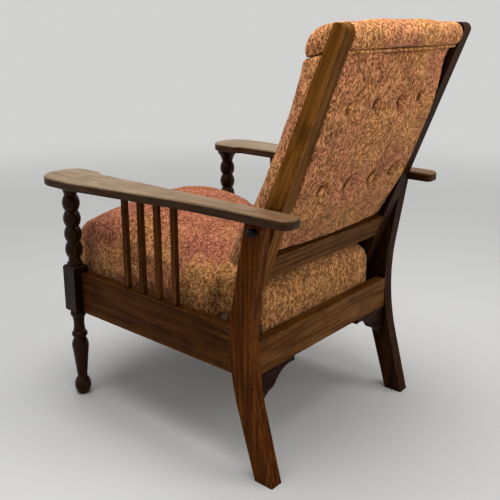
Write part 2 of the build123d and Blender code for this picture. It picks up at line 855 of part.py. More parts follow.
with BuildPart() as back_cushion:
    for u, depth, crown, rear_v, rear_crown in zip(
        back_places, back_depths, back_crowns, back_rears, back_rear_crowns
    ):
        with BuildSketch(back_section(u)):
            with BuildLine():
                flank_v = back_corner - depth
                corner_x = back_half_width - back_corner
                corner_mid = back_corner * math.sqrt(0.5)
                left_flank = ThreePointArc(
                    (back_half_width, rear_v),
                    (back_half_width + back_side_bulge, (rear_v + flank_v) / 2),
                    (back_half_width, flank_v),
                )
                left_corner = ThreePointArc(
                    left_flank @ 1, (corner_x + corner_mid, flank_v - corner_mid), (corner_x, -depth)
                )
                front = ThreePointArc(left_corner @ 1, (0, -depth - crown), (-corner_x, -depth))
                right_corner = ThreePointArc(
                    front @ 1, (-corner_x - corner_mid, flank_v - corner_mid), (-back_half_width, flank_v)
                )
                right_flank = ThreePointArc(
                    right_corner @ 1,
                    (-back_half_width - back_side_bulge, (rear_v + flank_v) / 2),
                    (-back_half_width, rear_v),
                )
                ThreePointArc(right_flank @ 1, (0, rear_v + rear_crown), left_flank @ 0)
            make_face()
    loft()
    with Locations((0, pivot_y, back_bottom_z)):
        Box(
            3 * back_half_width,
            4 * back_half_width,
            2 * back_half_width,
            align=(Align.CENTER, Align.CENTER, Align.MAX),
            mode=Mode.SUBTRACT,
        )
    with Locations(back_section(lower_rail_top_u + back_rear_gap, back_shadow_v)):
        Box(
            3 * back_half_width,
            2 * overrun,
            3 * overrun,
            align=(Align.CENTER, Align.MIN, Align.MAX),
            mode=Mode.SUBTRACT,
        )
    with Locations(under_roll):
        Box(
            3 * back_half_width,
            4 * overrun,
            2 * overrun,
            align=middle_bottom,
            mode=Mode.SUBTRACT,
        )
    add(frame_space.part, mode=Mode.SUBTRACT)
    add(welt_groove.part, mode=Mode.SUBTRACT)
    with Locations(*button_places):
        Cone(
            pocket_radius,
            2 * tuft_radius - pocket_radius,
            2 * tuft_depth,
            align=on_axis,
            mode=Mode.SUBTRACT,
        )
keep(back_cushion.part, "back_cushion")

with BuildPart() as back_buttons:
    with Locations(*button_places):
        Cylinder(button_radius, button_height, align=on_axis)
    button_rims = back_buttons.edges().filter_by(GeomType.CIRCLE)
    fillet([outer_rim(place) for place in button_places], button_round)
keep(back_buttons.part, "back_buttons")

# Head roll over the top of the back
roll_mid_v = (roll_root_rear_v + roll_root_front_v) / 2
roll_mid_rise = -roll_root_front_drop / 2
roll_crown = bulged((roll_brow_v, roll_brow_rise), (roll_top_v, roll_top_rise), roll_top_bulge)
with BuildPart() as back_top_roll:
    for place, girth in zip(roll_place_shares, roll_girth_shares):
        with BuildSketch(back_side(place * back_half_width)):
            with BuildLine():
                rear_point, rear_bulge, top_point, crown_point, brow_point, front_bulge, front_point = [
                    (
                        roll_mid_v + (v - roll_mid_v) * girth,
                        back_seam_u + roll_mid_rise + (rise - roll_mid_rise) * girth,
                    )
                    for v, rise in (
                        (roll_root_rear_v, 0),
                        (roll_rear_v, roll_rear_rise),
                        (roll_top_v, roll_top_rise),
                        roll_crown,
                        (roll_brow_v, roll_brow_rise),
                        (roll_front_v, -roll_front_drop),
                        (roll_root_front_v, -roll_root_front_drop),
                    )
                ]
                ThreePointArc(rear_point, rear_bulge, top_point)
                ThreePointArc(top_point, crown_point, brow_point)
                ThreePointArc(brow_point, front_bulge, front_point)
                Line(front_point, rear_point)
            make_face()
    loft()
    add(frame_space.part, mode=Mode.SUBTRACT)
    add(welt_groove.part, mode=Mode.SUBTRACT)
keep(back_top_roll.part, "back_top_roll")

# Seat frame, hung from the stiles at its rear and sliding over the front rail
with BuildPart() as seat_side_blank:
    with BuildSketch(Plane.XY.offset(seat_bottom_z)):
        with BuildLine():
            Polyline(
                (seat_bar_inner_x, seat_side_front_y),
                (seat_wing_x, seat_side_front_y),
                (seat_wing_x, seat_wing_end_y),
                (seat_bar_outer_x, seat_wing_end_y),
                (seat_bar_outer_x, seat_bar_rear_y),
                (seat_bar_inner_x, seat_bar_rear_y),
                close=True,
            )
        make_face()
    extrude(amount=seat_bar_depth)

with BuildPart() as seat_side:
    add(seat_side_blank.part)
    with Locations(Plane(origin=(seat_bar_outer_x, hinge_y, seat_hinge_z), z_dir=(1, 0, 0))):
        Cylinder(
            hinge_pin_radius + pin_clearance, hinge_pin_hold, align=behind_axis, mode=Mode.SUBTRACT
        )
keep_pair(seat_side.part, "seat_side")

with BuildPart() as seat_front_bar:
    with Locations((0, seat_front_bar_y, seat_bottom_z)):
        Box(2 * seat_wing_x, seat_front_bar_width, seat_bar_depth, align=middle_front)
    front_ends = seat_front_bar.edges().filter_by(Axis.Z).group_by(Axis.Y)[0]
    fillet(front_ends, seat_front_bar_round)
keep(seat_front_bar.part, "seat_front_bar")

with BuildPart() as seat_rear_bar:
    with Locations((0, seat_rear_bar_y, seat_bottom_z)):
        Box(2 * seat_bar_inner_x, seat_bar_width, seat_bar_depth, align=middle_front)
keep(seat_rear_bar.part, "seat_rear_bar")

# Webbing let into the seat frame: straps across, with straps from front to rear on top
web_z = seat_bottom_z + web_rise
web_top_z = web_z + 2 * web_thickness
seat_inner_length = seat_rear_bar_y - seat_side_front_y
seat_middle_y = (seat_rear_bar_y + seat_side_front_y) / 2
with BuildPart() as seat_webbing:
    with Locations((0, seat_middle_y, web_z)):
        with GridLocations(web_width, seat_inner_length / (web_count + 1), 1, web_count):
            Box(2 * seat_bar_inner_x, web_width, web_thickness, align=middle_bottom)
    with Locations((0, seat_middle_y, web_z + web_thickness)):
        with GridLocations(2 * seat_bar_inner_x / (web_count + 1), web_width, web_count, 1):
            Box(web_width, seat_inner_length, web_thickness, align=middle_bottom)
keep(seat_webbing.part, "seat_webbing")

# Pins and washers that hang the seat from the stiles
hinge_plane = Plane(origin=(0, hinge_y, seat_hinge_z), z_dir=(1, 0, 0))
hinge_head_x = stile_outer_x + washer_play
with BuildPart() as seat_hinge_pin:
    with Locations(hinge_plane.offset(seat_bar_outer_x - hinge_pin_hold)):
        Cylinder(
            hinge_pin_radius,
            hinge_head_x + hinge_head_height - seat_bar_outer_x + hinge_pin_hold,
            align=on_axis,
        )
    with Locations(hinge_plane.offset(hinge_head_x)):
        Cylinder(hinge_head_radius, hinge_head_height, align=on_axis)
keep_pair(seat_hinge_pin.part, "seat_hinge_pin")

washer_width = stile_inner_x - washer_play - seat_bar_outer_x
with BuildPart() as seat_hinge_washer:
    with Locations(hinge_plane.offset(seat_bar_outer_x)):
        Cylinder(hinge_washer_radius, washer_width, align=on_axis)
        Cylinder(hinge_pin_radius + pin_clearance, washer_width, align=on_axis, mode=Mode.SUBTRACT)
keep_pair(seat_hinge_washer.part, "seat_hinge_washer")

# Seat cushion: lofted from front to rear, T-shaped so that it passes between the stiles
seat_length = seat_rear_y - seat_front_y
with BuildPart() as seat_cushion:
    for share, width_share, wall, crown in zip(
        seat_station_shares, seat_width_shares, seat_walls, seat_crowns
    ):
        station_y = seat_front_y + share * seat_length
        with BuildSketch(Plane(origin=(0, station_y, seat_bottom_z), x_dir=(1, 0, 0), z_dir=(0, -1, 0))):
            with BuildLine():
                edge_x = seat_half_width * width_share
                shoulder_x = edge_x - seat_corner
                shoulder_mid = seat_corner * math.sqrt(0.5)
                wall_top = wall - seat_corner
                left_wall = ThreePointArc(
                    (edge_x, 0), (edge_x + seat_side_bulge, wall_top / 2), (edge_x, wall_top)
                )
                left_shoulder = ThreePointArc(
                    left_wall @ 1, (shoulder_x + shoulder_mid, wall_top + shoulder_mid), (shoulder_x, wall)
                )
                top = ThreePointArc(left_shoulder @ 1, (0, crown), (-shoulder_x, wall))
                right_shoulder = ThreePointArc(
                    top @ 1, (-shoulder_x - shoulder_mid, wall_top + shoulder_mid), (-edge_x, wall_top)
                )
                ThreePointArc(
                    right_shoulder @ 1, (-edge_x - seat_side_bulge, wall_top / 2), (-edge_x, 0)
                )
                Line((-edge_x, 0), (edge_x, 0))
            make_face()
    loft()
    with BuildSketch(Plane.XY.offset(seat_bottom_z)):
        with BuildLine():
            FilletPolyline(
                (seat_plan_x, seat_front_y),
                (seat_plan_x, seat_notch_y),
                (seat_cover_x, seat_notch_y),
                (seat_cover_x, seat_rear_y),
                (-seat_cover_x, seat_rear_y),
                (-seat_cover_x, seat_notch_y),
                (-seat_plan_x, seat_notch_y),
                (-seat_plan_x, seat_front_y),
                radius=[
                    seat_front_round,
                    seat_notch_round,
                    seat_notch_round,
                    seat_rear_round,
                    seat_rear_round,
                    seat_notch_round,
                    seat_notch_round,
                    seat_front_round,
                ],
                close=True,
            )
        make_face()
    extrude(amount=2 * max(seat_crowns), mode=Mode.INTERSECT)
    add(seat_side_blank.part, mode=Mode.SUBTRACT)
    mirror(seat_side_blank.part, about=Plane.YZ, mode=Mode.SUBTRACT)
    add(seat_front_bar.part, mode=Mode.SUBTRACT)
    add(seat_rear_bar.part, mode=Mode.SUBTRACT)
    with Locations((0, seat_side_front_y, seat_bottom_z)):
        Box(
            2 * seat_bar_inner_x,
            seat_inner_length,
            web_top_z - seat_bottom_z,
            align=middle_front,
            mode=Mode.SUBTRACT,
        )
    for plane in (hinge_plane, Plane(origin=(0, hinge_y, seat_hinge_z), z_dir=(-1, 0, 0))):
        with Locations(plane.offset(seat_bar_outer_x)):
            Cylinder(
                hinge_washer_radius + slip_clearance, washer_width, align=on_axis, mode=Mode.SUBTRACT
            )
keep(seat_cushion.part, "seat_cushion")

# The origin goes under the middle of the whole chair, and every piece is written
chair = Compound(children=[Compound(piece.wrapped) for piece in pieces])
chair_box = chair.bounding_box()
middle_y = (chair_box.min.Y + chair_box.max.Y) / 2
for piece in pieces:
    name = piece.label
    moved = Pos(0, -middle_y, 0) * piece
    moved.label = name
    export_step(moved, f"parts/{name}.step")

print("middle y", round(middle_y, 3), "box", chair_box)
print("pivot y z", round(pivot_y - middle_y, 3), pivot_z)
print("seat hinge y z", round(hinge_y - middle_y, 3), seat_hinge_z)
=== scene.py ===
import json
import math

import bmesh
import bpy
import numpy as np
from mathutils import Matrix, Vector, noise


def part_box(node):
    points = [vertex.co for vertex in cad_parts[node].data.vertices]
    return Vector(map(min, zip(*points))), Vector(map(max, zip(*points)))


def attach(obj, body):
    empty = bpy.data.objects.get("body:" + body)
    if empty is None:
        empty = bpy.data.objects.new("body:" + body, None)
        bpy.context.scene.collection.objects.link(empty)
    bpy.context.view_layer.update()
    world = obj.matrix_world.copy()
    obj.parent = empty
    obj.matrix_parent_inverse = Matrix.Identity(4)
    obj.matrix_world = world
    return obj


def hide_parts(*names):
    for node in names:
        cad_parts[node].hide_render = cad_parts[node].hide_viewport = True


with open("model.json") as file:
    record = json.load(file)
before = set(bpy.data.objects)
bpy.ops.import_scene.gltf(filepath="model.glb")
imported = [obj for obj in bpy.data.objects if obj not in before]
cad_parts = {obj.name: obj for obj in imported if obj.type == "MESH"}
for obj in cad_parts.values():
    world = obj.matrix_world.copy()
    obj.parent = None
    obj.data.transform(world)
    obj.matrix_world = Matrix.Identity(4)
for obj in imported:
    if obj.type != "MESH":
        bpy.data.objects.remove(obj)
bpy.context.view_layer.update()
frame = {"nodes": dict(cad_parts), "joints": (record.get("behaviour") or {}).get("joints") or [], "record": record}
nodes = frame["nodes"]
scene = bpy.context.scene

# The back's own frame, in metres: its pivot, its lean, and the ways up it and behind it
LEAN = math.radians(21.0)
PIVOT = Vector(
    next(joint["pos_m"] for joint in frame["joints"] if joint["name"] == "back_recline")
)
UP = Vector((0, math.sin(LEAN), math.cos(LEAN)))
REAR = Vector((0, math.cos(LEAN), -math.sin(LEAN)))


def back_point(x, v, u):
    """The point at x, v behind the pivot line and u up the back."""
    return Vector((x, 0, 0)) + Vector((0, PIVOT.y, PIVOT.z)) + REAR * v + UP * u


def back_places(points):
    """The places of points across, behind and up the back."""
    offset = points - np.array((0, PIVOT.y, PIVOT.z))
    return points[:, 0], offset @ np.array(REAR), offset @ np.array(UP)


# Nodes and materials
class NodeTree:
    """A node tree, with short calls for its nodes."""

    def __init__(self, tree):
        self.tree = tree
        self.tree.nodes.clear()

    def node(self, kind, **settings):
        node = self.tree.nodes.new(kind)
        for key, value in settings.items():
            setattr(node, key, value)
        return node

    def feed(self, socket, value):
        """Gives a socket a plain value, a colour or the output of another node."""
        if isinstance(value, bpy.types.NodeSocket):
            self.tree.links.new(value, socket)
        elif socket.type == "RGBA" and isinstance(value, tuple):
            socket.default_value = (*value, 1)
        elif socket.type == "RGBA":
            socket.default_value = (value, value, value, 1)
        else:
            socket.default_value = value

    def fill(self, node, values):
        """Feeds the inputs of a node that values names or numbers."""
        for key, value in values.items():
            self.feed(node.inputs[key], value)

    def maths(self, operation, *values):
        node = self.node("ShaderNodeMath", operation=operation)
        self.fill(node, dict(enumerate(values)))
        return node.outputs[0]

    def in_view(self):
        """1 for what the camera sees, directly or in a reflection, and 0 for other light."""
        path = self.node("ShaderNodeLightPath").outputs
        return self.maths("MAXIMUM", path["Is Camera Ray"], path["Is Glossy Ray"])

    def blend(self, share, one, two):
        node = self.node("ShaderNodeMixShader")
        self.fill(node, {0: share, 1: one, 2: two})
        return node.outputs[0]


class Shader(NodeTree):
    """A Principled material, with short calls for the nodes that feed it."""

    def __init__(self, name):
        self.material = bpy.data.materials.new(name)
        self.material.use_nodes = True
        super().__init__(self.material.node_tree)
        self.out = self.node("ShaderNodeOutputMaterial")
        self.bsdf = self.node("ShaderNodeBsdfPrincipled")
        self.feed(self.out.inputs[0], self.bsdf.outputs[0])
        self.plain = self.node("ShaderNodeTexCoord").outputs["Object"]
        self.facing = self.node("ShaderNodeNewGeometry").outputs["Normal"]

    def set(self, **values):
        """Feeds the shader itself, with underscores for the spaces in the names."""
        self.fill(self.bsdf, {key.replace("_", " "): value for key, value in values.items()})

    def turned(self, rotation, shift):
        node = self.node("ShaderNodeMapping")
        self.fill(node, {"Vector": self.plain, "Rotation": rotation, "Location": shift})
        return node.outputs[0]

    def stretched(self, vector, scale):
        node = self.node("ShaderNodeMapping")
        self.fill(node, {"Vector": vector, "Scale": scale})
        return node.outputs[0]

    def noise(self, vector, scale, detail=2.0, rough=0.5, warp=0.0):
        node = self.node("ShaderNodeTexNoise")
        self.fill(node, {"Vector": vector, "Scale": scale, "Detail": detail})
        self.fill(node, {"Roughness": rough, "Distortion": warp})
        return node.outputs[0]

    def ramp(self, value, *stops):
        node = self.node("ShaderNodeValToRGB")
        elements = node.color_ramp.elements
        while len(elements) < len(stops):
            elements.new(0.5)
        for element, (place, colour) in zip(elements, stops):
            element.position = place
            element.color = (*colour, 1) if isinstance(colour, tuple) else (*[colour] * 3, 1)
        self.feed(node.inputs[0], value)
        return node.outputs[0]

    def span(self, value, ends, kind="LINEAR"):
        """0 at the first of two ends and 1 at the second."""
        node = self.node("ShaderNodeMapRange", interpolation_type=kind)
        self.fill(node, {"Value": value, "From Min": ends[0], "From Max": ends[1]})
        return node.outputs[0]

    def mix(self, share, a, b, kind="MIX"):
        node = self.node("ShaderNodeMix", data_type="RGBA", blend_type=kind)
        self.fill(node, {0: share, 6: a, 7: b})
        return node.outputs[2]

    def times(self, a, b, share=1.0):
        """a multiplied by b, or by a share of it."""
        return self.mix(share, a, b, "MULTIPLY")

    def bands(self, field, count):
        """A wave over a field, from 0 to 1."""
        wave = self.maths("SINE", self.maths("MULTIPLY", field, count))
        return self.maths("MULTIPLY_ADD", wave, 0.5, 0.5)

    def part(self, vector, axis):
        """One of the three numbers of a vector."""
        node = self.node("ShaderNodeSeparateXYZ")
        self.feed(node.inputs[0], vector)
        return node.outputs[axis]

    def edges(self, radius):
        """1 on the edges of the piece and 0 on its faces."""
        bevel = self.node("ShaderNodeBevel", samples=4)
        self.feed(bevel.inputs["Radius"], radius)
        dot = self.node("ShaderNodeVectorMath", operation="DOT_PRODUCT")
        self.fill(dot, {0: bevel.outputs[0], 1: self.facing})
        return self.ramp(dot.outputs["Value"], (0.86, 1.0), (0.985, 0.0))

    def hollows(self, distance):
        """1 in hollows and corners and 0 in the open, the mask for painted shade."""
        node = self.node("ShaderNodeAmbientOcclusion", samples=5)
        self.feed(node.inputs["Distance"], distance)
        return self.ramp(node.outputs["AO"], (0.30, 1.0), (0.85, 0.0))

    def bump(self, height, distance, strength):
        node = self.node("ShaderNodeBump")
        self.fill(node, {"Height": height, "Distance": distance, "Strength": strength})
        self.set(Normal=node.outputs[0])


def scaled(colour, factor):
    return tuple(channel * factor for channel in colour)


GRAIN_ALONG = {
    "x": (0, math.radians(90), 0),
    "y": (math.radians(90), 0, 0),
    "z": (0, 0, 0),
    "back": (LEAN, 0, 0),
}

# How fine the patterns of the oak are, twice across its grain and once along it
BOARD = (8, 8, 1.4)
FIELD = (10, 10, 0.9)
STREAKS = (120, 120, 3.0)
FIBRES = (430, 430, 10)
PORES = (1100, 1100, 42)
GROWTH_LINES = 95.0
WOOD_TINT = (1.0, 0.66, 0.40)
# The arms' length, over which their wear changes
ARM_SPAN = (-0.36, 0.30)


def oak(name, grain, tones, seed, rough=0.38, worn=None, gloss=0.04):
    """Stained oak: growth lines, streaks and pores along the grain, painted shade and grime in hollows, worn
    edges.

    Where worn is given, the faces that look up have lost their stain, with one tone in front
    and one at the rear.
    """
    dark, mid, light = tones
    wood = Shader(name)
    along = wood.turned(GRAIN_ALONG[grain], (seed * 3.7, seed * 1.9, seed * 2.3))
    board = wood.noise(wood.stretched(along, BOARD), 1.0, 3.0, 0.55, 0.3)
    field = wood.noise(wood.stretched(along, FIELD), 1.0, 1.5, 0.45)
    growth = wood.bands(field, GROWTH_LINES)
    streaks = wood.noise(wood.stretched(along, STREAKS), 1.0, 4.0, 0.62, 0.2)
    fibres = wood.noise(wood.stretched(along, FIBRES), 1.0, 3.0, 0.6)
    pores = wood.noise(wood.stretched(along, PORES), 1.0, 2.0, 0.5)
    cloud = wood.noise(wood.plain, 13.0, 4.0, 0.6)

    # Grain, pores and darker clouds
    tone = wood.mix(0.36, streaks, fibres)
    tone = wood.mix(0.28, tone, board)
    tone = wood.mix(0.07, tone, growth)
    colour = wood.ramp(tone, (0.32, dark), (0.485, mid), (0.65, light))
    pits = wood.ramp(pores, (0.34, 0.35), (0.47, 1.0))
    colour = wood.times(colour, pits, 0.8)
    colour = wood.mix(wood.ramp(cloud, (0.50, 0.0), (0.75, 0.55)), colour, dark)

    # Wear
    bare = wood.ramp(wood.noise(wood.plain, 55.0, 3.0, 0.65), (0.44, 0.0), (0.62, 0.75))
    colour = wood.mix(wood.times(wood.edges(0.0035), bare), colour, scaled(light, 1.7))
    if worn is not None:
        to_rear = wood.span(wood.part(wood.plain, 1), ARM_SPAN)
        pale = wood.mix(wood.ramp(to_rear, (0.35, 0.0), (0.80, 0.40), (1.0, 0.90)), *worn)
        grain_left = wood.ramp(tone, (0.38, 0.55), (0.5, 1.0), (0.60, 1.18))
        pale = wood.times(wood.times(pale, grain_left, 0.75), pits, 0.5)
        upward = wood.maths("MULTIPLY_ADD", wood.part(wood.facing, 2), 0.5, 0.5)
        upward = wood.ramp(upward, (0.47, 0.0), (0.53, 0.08), (0.70, 0.80), (0.85, 1.0))
        patch = wood.ramp(cloud, (0.36, 1.0), (0.72, 0.62))
        colour = wood.mix(wood.times(upward, patch), colour, pale)

    # Painted shade and grime in hollows and corners
    colour = wood.mix(wood.times(wood.hollows(0.02), 0.72), colour, scaled(dark, 0.5))
    wood.set(
        Base_Color=colour,
        Roughness=wood.ramp(tone, (0.38, rough + 0.16), (0.6, rough)),
        Specular_IOR_Level=gloss,
        Specular_Tint=WOOD_TINT,
    )
    wood.bump(wood.mix(0.45, fibres, pores), distance=0.0005, strength=0.45)
    return wood.material


# Ground colours of the cloth, and what its dark and pale lines multiply them by
GOLD = (0.455, 0.192, 0.062)
SALMON = (0.430, 0.152, 0.068)
ROSE = (0.390, 0.124, 0.064)
RUST = (0.30, 0.25, 0.22)
CREAM = (1.80, 2.12, 2.45)
PILE_SCALE, PILE_LINES, TUFT_SCALE, FLECK_SCALE = 140.0, 19.0, 260.0, 700.0
PILE_TINT = (1.0, 0.72, 0.44)
# The heights between which the cloth brightens, as painted light from above
LIGHT_SPAN = (0.44, 0.96)


def chenille(name, seed, pink, pink_from, climb=None, height_light=(0.9, 0.9)):
    """Chenille: worm-like dark and pale lines of pile over ground that drifts from gold to pink.

    Where climb is given, the ground turns pink between its two heights. The two numbers of
    height_light are painted light, the brightness of the cloth low on the chair and at its top.
    """
    cloth = Shader(name)
    height = cloth.part(cloth.plain, 2)
    ground_at = cloth.turned((0, 0, 0), (seed * 1.7, seed * 2.9, seed * 0.8))
    drift = cloth.noise(ground_at, 8.0, 3.0, 0.55, 0.4)
    if climb is not None:
        drift = cloth.maths("MULTIPLY_ADD", cloth.span(height, climb), 0.30, drift)
    ground = cloth.ramp(drift, (pink_from - 0.10, GOLD), (pink_from + 0.14, pink))

    # Pile
    pile_at = cloth.stretched(ground_at, (1.0, 1.0, 0.7))
    worms = cloth.bands(cloth.noise(pile_at, PILE_SCALE, 1.4, 0.5, 0.8), PILE_LINES)
    tufts = cloth.noise(pile_at, TUFT_SCALE, 2.0, 0.6, 0.5)
    pattern = cloth.mix(0.5, worms, tufts)
    lines = cloth.ramp(pattern, (0.22, RUST), (0.45, 1.0), (0.55, 1.0), (0.78, CREAM))
    colour = cloth.times(ground, lines)

    # Painted light brighter up the chair, crushed pile as painted sheen patches, flecks, and painted shade in
    # hollows
    lit_by_height = cloth.ramp(cloth.span(height, LIGHT_SPAN), (0.0, height_light[0]), (1.0, height_light[1]))
    colour = cloth.times(colour, lit_by_height)
    # Crushed pile, painted as lighter and darker sheen patches
    crush_sheen = cloth.noise(ground_at, 26.0, 3.0, 0.6)
    crush_sheen = cloth.ramp(crush_sheen, (0.32, 0.66), (0.5, 1.0), (0.68, 1.26))
    colour = cloth.times(colour, crush_sheen, 0.8)
    fleck = cloth.noise(ground_at, FLECK_SCALE, 2.0, 0.6)
    colour = cloth.times(colour, cloth.ramp(fleck, (0.32, 0.5), (0.66, 1.35)), 0.5)
    # Painted shade in hollows and creases
    colour = cloth.mix(cloth.times(cloth.hollows(0.012), 0.7), colour, scaled(GOLD, 0.12))
    cloth.set(
        Base_Color=colour,
        Roughness=0.95,
        Specular_IOR_Level=0.06,
        Sheen_Weight=0.12,
        Sheen_Roughness=0.45,
        Sheen_Tint=PILE_TINT,
    )
    cloth.bump(cloth.mix(0.35, pattern, fleck), distance=0.0034, strength=0.85)
    return cloth.material


def metal(name, colour, rough, metallic=1.0, gloss=0.5):
    """Metal or lacquer with a faint mottling in its tone and gloss."""
    piece = Shader(name)
    cloud = piece.noise(piece.plain, 90.0, 4.0, 0.6)
    tone = piece.ramp(cloud, (0.3, scaled(colour, 0.55)), (0.7, colour))
    # Painted shade in hollows
    tone = piece.mix(piece.times(piece.hollows(0.006), 0.6), tone, scaled(colour, 0.2))
    piece.set(
        Base_Color=tone,
        Roughness=piece.ramp(cloud, (0.3, rough + 0.12), (0.7, rough)),
        Metallic=metallic,
        Specular_IOR_Level=gloss,
    )
    piece.bump(piece.noise(piece.plain, 500.0, 2.0, 0.5), distance=0.0002, strength=0.3)
    return piece.material


def jute(name):
    """Plain woven jute webbing."""
    cloth = Shader(name)
    threads = []
    for direction in ("X", "Y"):
        wave = cloth.node("ShaderNodeTexWave", bands_direction=direction)
        cloth.fill(wave, {"Vector": cloth.plain, "Scale": 260.0, "Distortion": 1.0})
        threads.append(wave.outputs[0])
    weave = cloth.mix(0.5, *threads)
    tone = cloth.ramp(weave, (0.2, (0.15, 0.10, 0.055)), (0.8, (0.36, 0.27, 0.16)))
    cloth.set(Base_Color=tone, Roughness=0.9)
    cloth.bump(weave, distance=0.0008, strength=0.8)
    return cloth.material


# Tones of the wood, each dark, middle and light. The left leg and stile take lighter tones as painted light, and
# the right leg and stile the darker UMBER as painted shade; on the arms UMBER is their own tone.
LIT_RUSSET = ((0.012, 0.0030, 0.0005), (0.082, 0.0200, 0.0018), (0.180, 0.058, 0.0085))
LIT_HONEY = ((0.020, 0.0058, 0.0008), (0.142, 0.0500, 0.0062), (0.300, 0.120, 0.022))
BROWN = ((0.012, 0.0038, 0.0010), (0.062, 0.0195, 0.0032), (0.138, 0.050, 0.010))
TAN = ((0.020, 0.0064, 0.0012), (0.104, 0.0370, 0.0066), (0.215, 0.090, 0.021))
UMBER = ((0.005, 0.0020, 0.0010), (0.026, 0.0090, 0.0032), (0.064, 0.024, 0.0085))
EBONY = ((0.0024, 0.0009, 0.0006), (0.0105, 0.0034, 0.0012), (0.036, 0.0125, 0.0045))
PLAIN = ((0.160, 0.0900, 0.0450), (0.300, 0.1900, 0.1000), (0.420, 0.290, 0.170))
# The arms' worn tops, in front and at the rear
WORN = ((0.290, 0.205, 0.126), (0.200, 0.102, 0.046))

# The wood of the pieces whose names start with each key
woods = {
    "arm": oak("arm_oak", "y", UMBER, 0, rough=0.42, worn=WORN, gloss=0.20),
    "front_post": oak("post_oak", "z", EBONY, 1, rough=0.16, gloss=0.16),
    "spindle": oak("spindle_oak", "z", BROWN, 2),
    # The left leg and stile lit, the right ones shaded: painted light and shade on one wood
    "rear_leg_left": oak("left_leg_lit_oak", "z", LIT_RUSSET, 3),
    "rear_leg_right": oak("right_leg_shaded_oak", "z", UMBER, 4),
    "back_stile_left": oak("left_stile_lit_oak", "back", LIT_HONEY, 5),
    "back_stile_right": oak("right_stile_shaded_oak", "back", UMBER, 6),
    "side_rail": oak("side_rail_oak", "y", BROWN, 7),
    "rear_rail": oak("rear_rail_oak", "x", TAN, 8),
    "back_lower_rail": oak("lower_rail_oak", "x", TAN, 9),
    "rear_bracket": oak("bracket_oak", "x", EBONY, 10),
    "front_rail": oak("front_rail_oak", "x", BROWN, 11),
    "seat_side": oak("seat_side_wood", "y", PLAIN, 12, rough=0.6),
    "corner_block": oak("corner_block_wood", "y", PLAIN, 13, rough=0.6),
}
cross_wood = oak("plain_cross_wood", "x", PLAIN, 14, rough=0.6)
steel = metal("dull_steel", (0.38, 0.37, 0.35), 0.38)
black_gloss = metal("black_gloss", (0.0035, 0.0035, 0.0040), 0.22, metallic=0.0, gloss=0.10)
webbing = jute("jute")
back_cloth = chenille("back_chenille", 1.0, SALMON, 0.47, height_light=(0.76, 1.34))
# A brighter copy of the back cloth, painted light, for the welt and buttons
lit_cloth = chenille("lit_chenille", 2.0, SALMON, 0.60, height_light=(0.95, 1.5))
seat_cloth = chenille("seat_chenille", 4.0, ROSE, 0.63, climb=(0.38, 0.48), height_light=(0.86, 0.86))


def dress(obj, material):
    obj.data.materials.clear()
    obj.data.materials.append(material)
    for polygon in obj.data.polygons:
        polygon.use_smooth = True


def soften(obj, width):
    """Rounds the sharp edges of a wooden piece."""
    flat = obj.modifiers.new("flatten", "DECIMATE")
    flat.decimate_type = "DISSOLVE"
    flat.angle_limit = math.radians(1.0)
    edge = obj.modifiers.new("edges", "BEVEL")
    edge.width = width
    edge.segments = 3
    edge.limit_method = "ANGLE"
    edge.angle_limit = math.radians(30)
    shade = obj.modifiers.new("shade", "WEIGHTED_NORMAL")
    shade.keep_sharp = False


EDGE_ROUNDS = {
    "rear_leg": 0.0026,
    "side_rail": 0.0020,
    "rear_rail": 0.0022,
    "front_rail": 0.0020,
    "back_stile": 0.0030,
    "back_lower_rail": 0.0022,
    "spindle": 0.0012,
    "rear_bracket": 0.0012,
}
finishes = {"steel": steel, "screw": steel, "black_knob": black_gloss, "webbing": webbing}
slots = {part["node"]: part["material_slot"] for part in frame["record"]["subparts"]}
for name, obj in nodes.items():
    if slots[name] in ("oak", "plain_wood"):
        found = (wood for key, wood in woods.items() if name.startswith(key))
        dress(obj, next(found, cross_wood))
        for key, width in EDGE_ROUNDS.items():
            if name.startswith(key):
                soften(obj, width)
    elif slots[name] in finishes:
        dress(obj, finishes[slots[name]])


# Upholstery
WELD = 0.00002
CLOTH_FRAMES = 20


def settle(obj):
    """Applies the modifiers of a piece to its mesh."""
    depsgraph = bpy.context.evaluated_depsgraph_get()
    mesh = bpy.data.meshes.new_from_object(obj.evaluated_get(depsgraph))
    old = obj.data
    obj.modifiers.clear()
    obj.data = mesh
    bpy.data.meshes.remove(old)


def cover_of(node, name, voxel):
    """A closed cover with the shape of a CAD solid, in even cells."""
    mesh = nodes[node].data.copy()
    mesh.name = name
    obj = bpy.data.objects.new(name, mesh)
    scene.collection.objects.link(obj)
    bm = bmesh.new()
    bm.from_mesh(mesh)
    bmesh.ops.remove_doubles(bm, verts=bm.verts, dist=WELD)
    bm.to_mesh(mesh)
    bm.free()
    cells = obj.modifiers.new("cells", "REMESH")
    cells.mode = "VOXEL"
    cells.voxel_size = voxel
    settle(obj)
    return obj


def numbers_of(vertices, key):
    values = np.empty(len(vertices) * 3)
    vertices.foreach_get(key, values)
    return values.reshape(-1, 3)


def points_of(obj):
    return numbers_of(obj.data.vertices, "co")


def set_points(obj, points):
    obj.data.vertices.foreach_set("co", points.reshape(-1))
    obj.data.update()


def rise(values, low, high):
    """0 below low, 1 above high and a smooth step between."""
    t = np.clip((values - low) / (high - low), 0, 1)
    return t * t * (3 - 2 * t)


def relax(obj, freedom, rounds):
    """Evens the cover out where it is free."""
    edges = np.empty(len(obj.data.edges) * 2, int)
    obj.data.edges.foreach_get("vertices", edges)
    edges = edges.reshape(-1, 2)
    points = points_of(obj)
    degree = np.bincount(edges.reshape(-1), minlength=len(points))[:, None]
    for _ in range(rounds):
        total = np.zeros_like(points)
        np.add.at(total, edges[:, 0], points[edges[:, 1]])
        np.add.at(total, edges[:, 1], points[edges[:, 0]])
        points = points + (total / np.maximum(degree, 1) - points) * 0.5 * freedom[:, None]
    set_points(obj, points)


